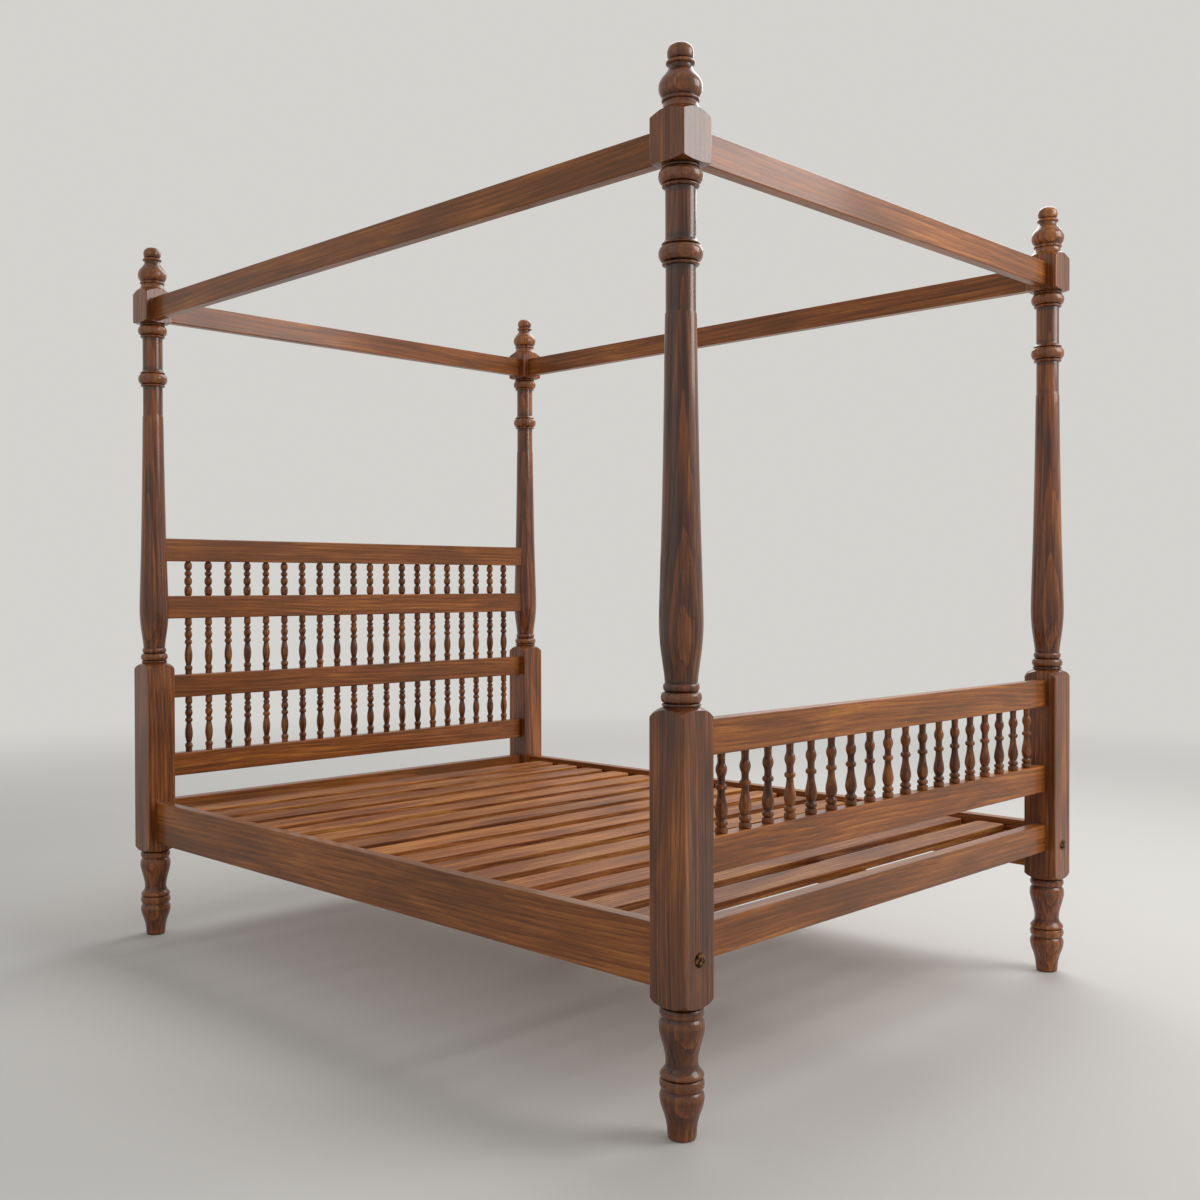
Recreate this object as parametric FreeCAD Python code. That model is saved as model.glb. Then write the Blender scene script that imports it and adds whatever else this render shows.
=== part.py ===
import FreeCAD
import Part
import math
import os
from collections import namedtuple

# Four-poster bed in millimetres: +Z is up and the floor is Z = 0
# The foot end is towards -Y, the head end towards +Y, and left and right are seen from the foot

# Plan of the four post axes
post_spacing_x = 1560.0
post_spacing_y = 2100.0

# Air in a round or tenoned joint (flat shoulders meet face to face), and the overrun of a cut
fit_gap = 0.3
cut_overrun = 5.0

# Posts: a turned foot, a square block, a turned shaft and a small square block under the finial
foot_height = 256.0
foot_radius = 45.0
block_width = 90.0
block_height = 576.0
block_lower_shoulder = 20.0
block_upper_shoulder = 24.5
shaft_height = 1034.0
shaft_radius = 43.0
top_block_width = 86.0
top_block_height = 107.0
top_block_lower_shoulder = 6.5
top_block_upper_shoulder = 16.5
finial_height = 127.0
finial_radius = 42.4
dowel_radius = 8.0
dowel_length = 28.0

# Shoulders where a square block is turned down to a round: the cut's reach as a share of the block's side,
# and how much each shoulder swells out or in
shoulder_reach_share = 0.74
block_swell_share = 0.10
top_block_lower_swell_share = 0.06
top_block_upper_swell_share = -0.02

# Turned outlines from the bottom up: shares of the height, of the largest radius and, on a round stretch,
# of the stretch's own length for how far it swells out (or in, below zero)
foot_shares = (
    (0.000, 0.52),
    (0.023, 0.63, 0.15),
    (0.188, 0.80, -0.045),
    (0.285, 0.97, 0.04),
    (0.355, 0.88, 0.09),
    (0.367, 0.88),
    (0.457, 0.88, 0.17),
    (0.461, 0.90),
    (0.502, 0.87, 0.26),
    (0.594, 0.695, -0.077),
    (0.723, 0.85, -0.034),
    (0.848, 0.995, 0.036),
    (0.926, 0.885, 0.07),
    (0.936, 0.88),
    (0.998, 0.88, 0.25),
    (1.000, 0.88),
)
shaft_shares = (
    (0.000, 0.81),
    (0.0065, 0.81, 0.45),
    (0.007, 0.78),
    (0.027, 0.78, 0.30),
    (0.029, 0.73),
    (0.044, 0.73, 0.25),
    (0.047, 0.745),
    (0.080, 0.835, -0.01),
    (0.156, 1.00, 0.017),
    (0.264, 0.94, 0.006),
    (0.372, 0.857),
    (0.728, 0.71, -0.004),
    (0.730, 0.68),
    (0.815, 0.68),
    (0.818, 0.74),
    (0.853, 0.74, 0.31),
    (0.863, 0.69, -0.10),
    (0.959, 0.69),
    (0.963, 0.76),
    (0.994, 0.79, 0.31),
    (1.000, 0.79, 0.45),
)
finial_shares = (
    (0.000, 0.885),
    (0.106, 0.77, -0.06),
    (0.110, 0.79),
    (0.165, 0.79, 0.45),
    (0.173, 0.79),
    (0.327, 1.00, 0.108),
    (0.480, 0.82, 0.09),
    (0.606, 0.54, -0.05),
    (0.665, 0.52),
    (0.669, 0.55),
    (0.748, 0.55, 0.46),
    (0.769, 0.50),
    (0.875, 0.60, 0.09),
    (0.969, 0.42, 0.13),
    (1.000, 0.06, 0.06),
)

# Tenons of every rail, cut in from the rail's faces and stopped short of the post axis
tenon_thickness = 16.0
tenon_shoulder = 10.0
tenon_wall = 3.0

# Bed rails: the side rails stand above the blocks' lower shoulders, the end rails' tops a little higher
side_rail_lift = 7.0
side_rail_height = 125.0
side_rail_thickness = 34.0
end_rail_height = 73.0
end_rail_thickness = 36.0
end_rail_rise = 2.0

# Canopy rails, lifted above the top blocks' lower shoulders
canopy_rail_height = 65.0
canopy_rail_thickness = 30.0
canopy_rail_lift = 4.5

# Headboard: four rails and three rows of spindles, with its lift above the head rail and the middle rail's
# drop below the blocks' shoulders
headboard_lift = 69.0
headboard_rail_height = 70.0
headboard_rail_thickness = 32.0
headboard_middle_drop = 16.5
headboard_middle_row_height = 175.0
headboard_top_row_height = 107.0
headboard_spindle_count = 20
headboard_spindle_radius = 12.0

# Footboard: two rails and one row of spindles, with its lift above the foot rail and the top rail's drop
# below the blocks' shoulders
footboard_lift = 90.0
footboard_rail_height = 72.0
footboard_rail_thickness = 32.0
footboard_top_drop = 3.5
footboard_spindle_count = 18
footboard_spindle_radius = 13.0

# Spindles: round pins in drilled holes, and outlines written like those of the posts
pin_radius = 6.0
pin_length = 12.0
vase_spindle_shares = (
    (0.00, 0.84),
    (0.07, 0.84),
    (0.11, 1.00),
    (0.15, 0.84),
    (0.17, 0.62),
    (0.52, 0.62, 0.075),
    (0.57, 0.95),
    (0.62, 0.62),
    (0.80, 0.62, 0.14),
    (0.86, 0.62),
    (0.90, 0.90),
    (1.00, 0.84),
)
bead_spindle_shares = (
    (0.00, 0.66),
    (0.28, 0.62, 0.145),
    (0.32, 0.62),
    (0.54, 0.62, 0.19),
    (0.59, 0.62),
    (0.65, 0.92),
    (0.71, 0.62),
    (0.76, 0.62),
    (0.97, 0.62, 0.19),
    (1.00, 0.66),
)
ringed_vase_spindle_shares = (
    (0.00, 1.00),
    (0.07, 1.00),
    (0.09, 0.74),
    (0.12, 0.98),
    (0.15, 0.74),
    (0.17, 0.66),
    (0.27, 0.98, 0.12),
    (0.50, 0.58, 0.04),
    (0.55, 0.58),
    (0.575, 0.90),
    (0.60, 0.58),
    (0.76, 0.58),
    (0.80, 0.90),
    (0.84, 0.60),
    (1.00, 0.66),
)

# Slats lie across the bed on ledger strips screwed to the side rails
slat_count = 15
slat_width = 84.0
slat_end_space = 87.0
slat_thickness = 18.0
slat_drop = 14.0
slat_side_gap = 10.0
slat_corner_radius = 18.0
ledger_depth = 25.0
ledger_height = 25.0
ledger_end_gap = 15.0

# Centre beam under the slats, its notched seats on the end rails and its leg
beam_width = 75.0
beam_height = 36.0
seat_shelf = 16.0
seat_cheek = 28.0
seat_depth = 35.0
leg_width = 50.0
leg_tenon_radius = 12.0
leg_tenon_length = 20.0

# Bed bolts pass through a post into a barrel nut in the side rail
bolt_rise = 69.0
bolt_radius = 4.0
bolt_head_radius = 13.0
bolt_head_height = 5.0
bolt_head_shares = ((0.0, 1.00), (0.2, 1.00), (1.0, 0.20, 0.09))
bolt_end_length = 10.0
nut_radius = 7.0
nut_length = 22.0
nut_inset = 60.0

# Heights and places worked out from the sizes above
post_x = post_spacing_x / 2
post_y = post_spacing_y / 2
block_top = foot_height + block_height
shaft_top = block_top + shaft_height
post_top = shaft_top + top_block_height
flats_bottom = foot_height + block_lower_shoulder
flats_top = block_top - block_upper_shoulder
tenon_tip = tenon_thickness / 2 + tenon_wall
side_rail_bottom = flats_bottom + side_rail_lift
side_rail_top = side_rail_bottom + side_rail_height
end_rail_top = side_rail_top + end_rail_rise
end_rail_bottom = end_rail_top - end_rail_height
canopy_rail_bottom = shaft_top + top_block_lower_shoulder + canopy_rail_lift
headboard_middle_bottom = flats_top - headboard_middle_drop - headboard_rail_height
headboard_lower_bottom = end_rail_top + headboard_lift
headboard_upper_bottom = headboard_middle_bottom + headboard_rail_height + headboard_middle_row_height
headboard_top_bottom = headboard_upper_bottom + headboard_rail_height + headboard_top_row_height
footboard_top_bottom = flats_top - footboard_top_drop - footboard_rail_height
footboard_lower_bottom = end_rail_top + footboard_lift
slat_top = side_rail_top - slat_drop
slat_bottom = slat_top - slat_thickness
slat_pitch = (post_spacing_y - end_rail_thickness - 2 * slat_end_space - slat_width) / (slat_count - 1)
beam_bottom = slat_bottom - beam_height
bolt_height = side_rail_bottom + bolt_rise
nut_y = post_y - block_width / 2 - nut_inset

# Every rail; one that meets the round shafts has no block to stop at
Rail = namedtuple("Rail", "name bottom height thickness block_width")

side_rail = Rail("side_rail", side_rail_bottom, side_rail_height, side_rail_thickness, block_width)
canopy_side_rail = Rail("canopy_rail", canopy_rail_bottom, canopy_rail_height, canopy_rail_thickness,
                        top_block_width)
side_rails = (side_rail, canopy_side_rail)


def end_rail(name):
    """A rail across one end that carries the slats' centre beam."""
    return Rail(name, end_rail_bottom, end_rail_height, end_rail_thickness, block_width)


def canopy_end_rail(name):
    """A canopy rail across one end."""
    return Rail(name, canopy_rail_bottom, canopy_rail_height, canopy_rail_thickness, top_block_width)


def headboard_rail(name, bottom, on_block):
    """A headboard rail, on the posts' blocks or on their round shafts."""
    stop = block_width if on_block else None
    return Rail(name, bottom, headboard_rail_height, headboard_rail_thickness, stop)


def footboard_rail(name, bottom):
    """A footboard rail."""
    return Rail(name, bottom, footboard_rail_height, footboard_rail_thickness, block_width)


headboard_lower = headboard_rail("headboard_lower_rail", headboard_lower_bottom, on_block=True)
headboard_middle = headboard_rail("headboard_middle_rail", headboard_middle_bottom, on_block=True)
headboard_upper = headboard_rail("headboard_upper_rail", headboard_upper_bottom, on_block=False)
headboard_top = headboard_rail("headboard_top_rail", headboard_top_bottom, on_block=False)
footboard_lower = footboard_rail("footboard_lower_rail", footboard_lower_bottom)
footboard_top = footboard_rail("footboard_top_rail", footboard_top_bottom)
head_rails = (end_rail("head_rail"), headboard_lower, headboard_middle, headboard_upper, headboard_top,
              canopy_end_rail("canopy_rail_head"))
foot_rails = (end_rail("foot_rail"), footboard_lower, footboard_top, canopy_end_rail("canopy_rail_foot"))

# Every row of spindles, with the rails that it stands between
SpindleRow = namedtuple("SpindleRow", "name lower_rail upper_rail count radius shares")


def headboard_row(name, lower_rail, upper_rail, shares):
    """One row of headboard spindles."""
    return SpindleRow(name, lower_rail, upper_rail, headboard_spindle_count, headboard_spindle_radius,
                      shares)


head_rows = (
    headboard_row("headboard_spindles_lower", headboard_lower, headboard_middle, vase_spindle_shares),
    headboard_row("headboard_spindles_middle", headboard_middle, headboard_upper, vase_spindle_shares),
    headboard_row("headboard_spindles_top", headboard_upper, headboard_top, bead_spindle_shares),
)
foot_rows = (
    SpindleRow("footboard_spindles", footboard_lower, footboard_top, footboard_spindle_count,
               footboard_spindle_radius, ringed_vase_spindle_shares),
)
sides = {"left": -1, "right": 1}
ends = {"foot": -1, "head": 1}


def centred_box(length_x, length_y, bottom, height):
    """A box centred on the Z axis."""
    corner = FreeCAD.Vector(-length_x / 2, -length_y / 2, bottom)
    return Part.makeBox(length_x, length_y, height, corner)


def box_between(x_start, x_end, width, bottom, height):
    """A box that runs along X between two places and is centred across Y."""
    corner = FreeCAD.Vector(x_start, -width / 2, bottom)
    return Part.makeBox(x_end - x_start, width, height, corner)


def moved(shape, x=0, y=0, z=0):
    """A copy of a shape, moved."""
    return shape.translated(FreeCAD.Vector(x, y, z))


def turned_about_z(shape, degrees):
    """A copy of a shape, turned about the Z axis."""
    return shape.rotated(FreeCAD.Vector(), FreeCAD.Vector(0, 0, 1), degrees)


def stretch(start, end, swell_share=0):
    """One stretch of a turned outline: a line, or an arc that swells by a share of its own length."""
    if swell_share == 0:
        return Part.makeLine(start, end)
    along = end - start
    outward = FreeCAD.Vector(along.z, 0, -along.x)
    return Part.Arc(start, (start + end) / 2 + outward * swell_share, end).toShape()


def revolved(points, swell_shares):
    """A solid of revolution about Z, from its outline's points and the swell of each stretch."""
    corners = [FreeCAD.Vector(0, 0, points[0].z)] + points + [FreeCAD.Vector(0, 0, points[-1].z)]
    swells = [0] + list(swell_shares[1:]) + [0]
    edges = [stretch(a, b, swell) for a, b, swell in zip(corners, corners[1:], swells)]
    edges.append(Part.makeLine(corners[-1], corners[0]))
    return Part.Face(Part.Wire(edges)).revolve(FreeCAD.Vector(), FreeCAD.Vector(0, 0, 1), 360)


def pin_points(radius, low, high):
    """The two outline points of a round pin."""
    return [FreeCAD.Vector(radius, 0, low), FreeCAD.Vector(radius, 0, high)]


def turning(shares, bottom, height, radius, below=None, above=None):
    """A piece turned on a lathe from a table of shares, with a (radius, length) pin below or above it."""
    points = [FreeCAD.Vector(radius * share[1], 0, bottom + height * share[0]) for share in shares]
    swells = [share[2] if len(share) > 2 else 0 for share in shares]
    if below:
        points = pin_points(below[0], bottom - below[1], bottom) + points
        swells = [0, 0] + swells
    if above:
        top = bottom + height
        points = points + pin_points(above[0], top, top + above[1])
        swells = swells + [0, 0]
    return revolved(points, swells)


def squared_block(side, bottom, height, shoulders, swell_shares, radii):
    """A square length left on a turned post, its ends turned down so that each flat ends in an arch."""
    corner_radius = side / math.sqrt(2)
    reach = side * shoulder_reach_share
    top = bottom + height
    rises = [rise * (reach - radius) / (corner_radius - radius) for rise, radius in zip(shoulders, radii)]
    points = [
        FreeCAD.Vector(radii[0], 0, bottom),
        FreeCAD.Vector(reach, 0, bottom + rises[0]),
        FreeCAD.Vector(reach, 0, top - rises[1]),
        FreeCAD.Vector(radii[1], 0, top),
    ]
    turned = revolved(points, [0, swell_shares[0], 0, swell_shares[1]])
    return turned.common(centred_box(side, side, bottom, height))


def shaft(gap=0):
    """The turned shaft between the two blocks, or with a gap the tool that copes a rail's end to it."""
    return turning(shaft_shares, block_top, shaft_height, shaft_radius + gap)


def post_blank():
    """One post on the Z axis, before its joints are cut."""
    foot = turning(foot_shares, 0, foot_height, foot_radius)
    block = squared_block(block_width, foot_height, block_height,
                          (block_lower_shoulder, block_upper_shoulder),
                          (block_swell_share, block_swell_share),
                          (foot_radius * foot_shares[-1][1], shaft_radius * shaft_shares[0][1]))
    top_block = squared_block(top_block_width, shaft_top, top_block_height,
                              (top_block_lower_shoulder, top_block_upper_shoulder),
                              (top_block_lower_swell_share, top_block_upper_swell_share),
                              (shaft_radius * shaft_shares[-1][1], finial_radius * finial_shares[0][1]))
    return foot.fuse([block, shaft(), top_block]).removeSplitter()


def tenon(rail, gap=0):
    """A rail's tenon entering a post on the Z axis from +X, or with a gap the mortise that takes it."""
    height = rail.height - 2 * tenon_shoulder + 2 * gap
    bottom = rail.bottom + tenon_shoulder - gap
    return box_between(tenon_tip - gap, block_width, tenon_thickness + 2 * gap, bottom, height)


def bolt_hole(length):
    """The hole for a bed bolt, along +Y from the Z axis."""
    start = FreeCAD.Vector(0, 0, bolt_height)
    return Part.makeCylinder(bolt_radius + fit_gap, length, start, FreeCAD.Vector(0, 1, 0))


def make_post(side, end):
    """A post with mortises for its rails, a bed-bolt hole and a socket for the finial's dowel."""
    inward_x = 0 if side < 0 else 180
    inward_y = 90 if end < 0 else -90
    end_rails = foot_rails if end < 0 else head_rails
    cuts = [turned_about_z(tenon(rail, fit_gap), inward_x) for rail in end_rails]
    cuts += [turned_about_z(tenon(rail, fit_gap), inward_y) for rail in side_rails]
    cuts.append(moved(bolt_hole(2 * block_width), y=-block_width))
    socket_depth = dowel_length + fit_gap
    socket_bottom = FreeCAD.Vector(0, 0, post_top - socket_depth)
    cuts.append(Part.makeCylinder(dowel_radius + fit_gap, socket_depth, socket_bottom))
    return moved(post_blank().cut(cuts), side * post_x, end * post_y)


def make_finial(side, end):
    """A turned finial standing on the post's top block, held by its dowel."""
    dowel = (dowel_radius, dowel_length)
    finial = turning(finial_shares, post_top, finial_height, finial_radius, below=dowel)
    return moved(finial, side * post_x, end * post_y)


def rail_along_x(rail, half_spacing):
    """A rail between two posts on X, tenoned at both ends and coped where it meets the round shafts."""
    half_length = half_spacing - rail.block_width / 2 if rail.block_width else half_spacing
    bar = box_between(-half_length, half_length, rail.thickness, rail.bottom, rail.height)
    if not rail.block_width:
        bar = bar.cut([moved(shaft(fit_gap), side * half_spacing) for side in sides.values()])
    one_tenon = moved(tenon(rail), -half_spacing)
    return bar.fuse([one_tenon, turned_about_z(one_tenon, 180)]).removeSplitter()


def spindle_pitch(count):
    """The spacing of a row of spindles that is even between the posts' blocks."""
    return (post_spacing_x - block_width) / (count + 1)


def across(shape, count):
    """Copies of a shape at every spindle of a row."""
    pitch = spindle_pitch(count)
    return [moved(shape, (i - (count - 1) / 2) * pitch) for i in range(count)]


def spindle_holes(rail, rows):
    """The holes drilled in a rail for the pins of the rows that it carries."""
    depth = pin_length + fit_gap
    holes = []
    for row in rows:
        if row.lower_rail is rail:
            top = rail.bottom + rail.height
            drill = Part.makeCylinder(pin_radius + fit_gap, depth, FreeCAD.Vector(0, 0, top - depth))
            holes += across(drill, row.count)
        if row.upper_rail is rail:
            drill = Part.makeCylinder(pin_radius + fit_gap, depth, FreeCAD.Vector(0, 0, rail.bottom))
            holes += across(drill, row.count)
    return holes


def make_end_rail(rail, end):
    """A rail across the foot or the head end, drilled for its spindles."""
    bar = rail_along_x(rail, post_x)
    holes = spindle_holes(rail, foot_rows if end < 0 else head_rows)
    return moved(bar.cut(holes) if holes else bar, y=end * post_y)


def make_canopy_side_rail(side):
    """A canopy rail along one side."""
    return moved(turned_about_z(rail_along_x(canopy_side_rail, post_y), 90), side * post_x)


def make_side_rail(side):
    """A side rail with its two bolt holes and the cross holes that take the barrel nuts from the inside."""
    rail = turned_about_z(rail_along_x(side_rail, post_y), 90)
    hole_length = block_width / 2 + nut_inset + bolt_end_length + fit_gap
    cuts = []
    for end in ends.values():
        hole = moved(bolt_hole(hole_length), y=-post_y)
        cuts.append(hole if end < 0 else turned_about_z(hole, 180))
        pocket = moved(barrel_nut(fit_gap), y=end * nut_y)
        cuts.append(pocket if side > 0 else turned_about_z(pocket, 180))
    return moved(rail.cut(cuts), side * post_x)


def barrel_nut(gap=0):
    """A barrel nut across a side rail, flush with the rail's inner face, or with a gap its pocket."""
    start = FreeCAD.Vector(-side_rail_thickness / 2, 0, bolt_height)
    return Part.makeCylinder(nut_radius + gap, nut_length + gap, start, FreeCAD.Vector(1, 0, 0))


def make_barrel_nuts():
    """Four barrel nuts, each with its cross hole for a bed bolt."""
    hole = moved(bolt_hole(2 * nut_radius + 2 * cut_overrun), y=-nut_radius - cut_overrun)
    nut = barrel_nut().cut(hole)
    nuts = []
    for side in sides.values():
        facing = nut if side > 0 else turned_about_z(nut, 180)
        nuts += [moved(facing, side * post_x, end * nut_y) for end in ends.values()]
    return Part.makeCompound(nuts)


def make_bed_bolts():
    """Four bed bolts, each from the outer face of a post through the post to its barrel nut."""
    shank_length = block_width + nut_inset + bolt_end_length
    shank = (bolt_radius, shank_length)
    upright = turning(bolt_head_shares, 0, bolt_head_height, bolt_head_radius, below=shank)
    towards_foot = upright.rotated(FreeCAD.Vector(), FreeCAD.Vector(1, 0, 0), 90)
    bolt = moved(towards_foot, y=-post_y - block_width / 2, z=bolt_height)
    bolts = []
    for side in sides.values():
        bolts += [moved(bolt, side * post_x), moved(turned_about_z(bolt, 180), side * post_x)]
    return Part.makeCompound(bolts)


def make_spindles(row, end):
    """A row of turned spindles between two rails, each with a round pin at both ends."""
    bottom = row.lower_rail.bottom + row.lower_rail.height
    height = row.upper_rail.bottom - bottom
    pin = (pin_radius, pin_length)
    spindle = turning(row.shares, bottom, height, row.radius, below=pin, above=pin)
    return Part.makeCompound(across(moved(spindle, y=end * post_y), row.count))


def make_slat(number):
    """A slat with rounded corners, lying on both ledger strips."""
    length = post_spacing_x - side_rail_thickness - 2 * slat_side_gap
    blank = centred_box(length, slat_width, slat_bottom, slat_thickness)
    upright_edges = [edge for edge in blank.Edges if edge.BoundBox.ZLength > slat_thickness / 2]
    slat = blank.makeFillet(slat_corner_radius, upright_edges)
    return moved(slat, y=(number - (slat_count + 1) / 2) * slat_pitch)


def make_ledger(side):
    """A ledger strip along the inner face of a side rail, its top level with the slats' undersides."""
    length = post_spacing_y - block_width - 2 * ledger_end_gap
    strip = centred_box(ledger_depth, length, slat_bottom - ledger_height, ledger_height)
    return moved(strip, side * (post_x - side_rail_thickness / 2 - ledger_depth / 2))


def make_beam():
    """The beam along the middle of the bed, with a hole for the leg's tenon."""
    length = post_spacing_y - end_rail_thickness - 2 * fit_gap
    beam = centred_box(beam_width, length, beam_bottom, beam_height)
    underside = FreeCAD.Vector(0, 0, beam_bottom)
    return beam.cut(Part.makeCylinder(leg_tenon_radius + fit_gap, leg_tenon_length + fit_gap, underside))


def make_beam_seat(end):
    """A notched block on an end rail's inner face that takes the end of the beam."""
    width = beam_width + 2 * fit_gap + 2 * seat_cheek
    block = centred_box(width, seat_depth, beam_bottom - seat_shelf, seat_shelf + beam_height)
    notch_width = beam_width + 2 * fit_gap
    notch = centred_box(notch_width, seat_depth + cut_overrun, beam_bottom, beam_height + cut_overrun)
    return moved(block.cut(notch), y=end * (post_y - end_rail_thickness / 2 - seat_depth / 2))


def make_centre_leg():
    """The square leg from the floor to the beam, with a round tenon on top."""
    leg = centred_box(leg_width, leg_width, 0, beam_bottom)
    shoulder = FreeCAD.Vector(0, 0, beam_bottom)
    return leg.fuse(Part.makeCylinder(leg_tenon_radius, leg_tenon_length, shoulder))


def make_parts():
    """Every piece of the bed, by name."""
    parts = {}
    for end_name, end in ends.items():
        for side_name, side in sides.items():
            parts[f"post_{end_name}_{side_name}"] = make_post(side, end)
            parts[f"finial_{end_name}_{side_name}"] = make_finial(side, end)
        parts[f"beam_seat_{end_name}"] = make_beam_seat(end)
    for side_name, side in sides.items():
        parts[f"side_rail_{side_name}"] = make_side_rail(side)
        parts[f"canopy_rail_{side_name}"] = make_canopy_side_rail(side)
        parts[f"slat_ledger_{side_name}"] = make_ledger(side)
    for rail in head_rails:
        parts[rail.name] = make_end_rail(rail, ends["head"])
    for rail in foot_rails:
        parts[rail.name] = make_end_rail(rail, ends["foot"])
    for row in head_rows:
        parts[row.name] = make_spindles(row, ends["head"])
    for row in foot_rows:
        parts[row.name] = make_spindles(row, ends["foot"])
    for number in range(1, slat_count + 1):
        parts[f"slat_{number:02d}"] = make_slat(number)
    parts["slat_support_beam"] = make_beam()
    parts["centre_leg"] = make_centre_leg()
    parts["bed_bolts"] = make_bed_bolts()
    parts["barrel_nuts"] = make_barrel_nuts()
    return parts


os.makedirs("parts", exist_ok=True)
for name, shape in make_parts().items():
    shape.exportStep(f"parts/{name}.step")
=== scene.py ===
"""Looks of the four-poster bed: turned posts, finials and spindles, eased rails, slats and fittings."""

import logging
import math
from dataclasses import dataclass
from enum import Enum

import bmesh
import bpy
from mathutils import Matrix, Vector
from mathutils.geometry import interpolate_bezier


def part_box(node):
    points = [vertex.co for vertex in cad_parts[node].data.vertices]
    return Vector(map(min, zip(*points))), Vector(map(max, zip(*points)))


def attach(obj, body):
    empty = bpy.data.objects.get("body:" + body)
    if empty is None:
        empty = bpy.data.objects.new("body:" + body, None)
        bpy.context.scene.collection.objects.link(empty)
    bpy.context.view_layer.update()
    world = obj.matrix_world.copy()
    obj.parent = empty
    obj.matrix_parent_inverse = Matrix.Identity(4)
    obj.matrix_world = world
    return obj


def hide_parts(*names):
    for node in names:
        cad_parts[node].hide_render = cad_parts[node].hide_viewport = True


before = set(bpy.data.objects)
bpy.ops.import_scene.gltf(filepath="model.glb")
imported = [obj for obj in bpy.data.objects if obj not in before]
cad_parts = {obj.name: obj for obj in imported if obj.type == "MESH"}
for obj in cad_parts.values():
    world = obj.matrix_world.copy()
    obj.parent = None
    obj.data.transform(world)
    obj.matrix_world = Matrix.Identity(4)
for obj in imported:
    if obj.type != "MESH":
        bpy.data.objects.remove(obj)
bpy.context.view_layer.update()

LOG = logging.getLogger("bed")
MM = 0.001
BODY = "root"


class Axis(Enum):
    """The direction that a piece's grain runs in."""

    X = 0
    Y = 1
    Z = 2


class End(Enum):
    """The two ends of the bed, with the sign of their place on Y."""

    FOOT = -1
    HEAD = 1


class Side(Enum):
    """The two sides of the bed as seen from the foot, with the sign of their place on X."""

    LEFT = -1
    RIGHT = 1


class Seat(Enum):
    """What a rail's shoulders meet, with the shoulder's distance from the post's axis in millimetres."""

    BLOCK = 45.0
    TOP_BLOCK = 43.0
    SHAFT = 25.0


@dataclass(frozen=True)
class Box:
    """The room that a CAD node takes up at rest, in millimetres."""

    low: Vector
    high: Vector

    @classmethod
    def of(cls, node: str) -> "Box":
        """Look up one node's box."""
        low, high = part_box(node)
        return cls(low / MM, high / MM)

    @property
    def size(self) -> Vector:
        """The box's length on each axis."""
        return self.high - self.low

    @property
    def centre(self) -> Vector:
        """The middle of the box."""
        return (self.low + self.high) / 2


@dataclass(frozen=True)
class Bead:
    """A half-round ring of a turned outline, between two heights."""

    low: float
    high: float
    root: float
    crown: float

    def points(self, count: int = 13) -> list[Vector]:
        """Follow the ring from the bottom up.

        Args:
            count: Points on the half round.

        Returns:
            Points on the XZ plane.
        """
        middle, half = (self.low + self.high) / 2, (self.high - self.low) / 2
        angles = [math.pi * (i / (count - 1) - 0.5) for i in range(count)]
        swell = self.crown - self.root
        return [Vector((self.root + swell * math.cos(angle), 0.0, middle + half * math.sin(angle)))
                for angle in angles]

    def stretched(self, bottom: float, height: float) -> "Bead":
        """Place a ring that is given in shares of a height."""
        return Bead(bottom + self.low * height, bottom + self.high * height, self.root, self.crown)


@dataclass(frozen=True)
class Sweep:
    """A smooth stretch of a turned outline through a few (height, radius) points, straight between two."""

    knots: tuple[tuple[float, float], ...]

    def points(self, count: int = 7, spacing: float = 7.0) -> list[Vector]:
        """Follow the stretch from the bottom up.

        Args:
            count: Points from one knot to the next.
            spacing: The distance between the points of a straight stretch.

        Returns:
            Points on the XZ plane.
        """
        knots = [Vector((radius, 0.0, height)) for height, radius in self.knots]
        if len(knots) == 2:
            steps = math.ceil((knots[1] - knots[0]).length / spacing)
            return [knots[0].lerp(knots[1], i / steps) for i in range(steps + 1)]
        ends = [knots[0], *knots, knots[-1]]
        points: list[Vector] = []
        for before, start, end, after in zip(ends, ends[1:], ends[2:], ends[3:]):
            third = (end - start).length / 3
            leaving = start + (end - before).normalized() * third
            arriving = end - (after - start).normalized() * third
            points += interpolate_bezier(start, leaving, arriving, end, count)
        return points

    def stretched(self, bottom: float, height: float) -> "Sweep":
        """Place a stretch that is given in shares of a height."""
        return Sweep(tuple((bottom + share * height, radius) for share, radius in self.knots))


Outline = tuple[Bead | Sweep, ...]


def linear(hex_colour: str) -> tuple[float, float, float, float]:
    """Turn an sRGB hex colour into linear light.

    Args:
        hex_colour: A hash and six hex digits.

    Returns:
        Linear red, green and blue, and an alpha of one.
    """
    parts = [int(hex_colour[i:i + 2], 16) / 255 for i in (1, 3, 5)]
    red, green, blue = (p / 12.92 if p <= 0.04045 else ((p + 0.055) / 1.055) ** 2.4 for p in parts)
    return red, green, blue, 1.0


def add_node(tree: bpy.types.NodeTree, kind: str, inputs: dict | None = None, **settings) -> bpy.types.Node:
    """Add a node with its settings, and set or link its inputs.

    Args:
        tree: The node tree that gets the node.
        kind: The node's type name.
        inputs: Values or output sockets, by input name or number.
        settings: The node's own properties.

    Returns:
        The new node.
    """
    node = tree.nodes.new(kind)
    for name, value in settings.items():
        setattr(node, name, value)
    for key, value in (inputs or {}).items():
        if isinstance(value, bpy.types.NodeSocket):
            tree.links.new(value, node.inputs[key])
        else:
            node.inputs[key].default_value = value
    return node


def empty_tree(owner: bpy.types.Material | bpy.types.World) -> bpy.types.NodeTree:
    """Give a material or a world an empty node tree."""
    owner.use_nodes = True
    owner.node_tree.nodes.clear()
    return owner.node_tree


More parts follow.
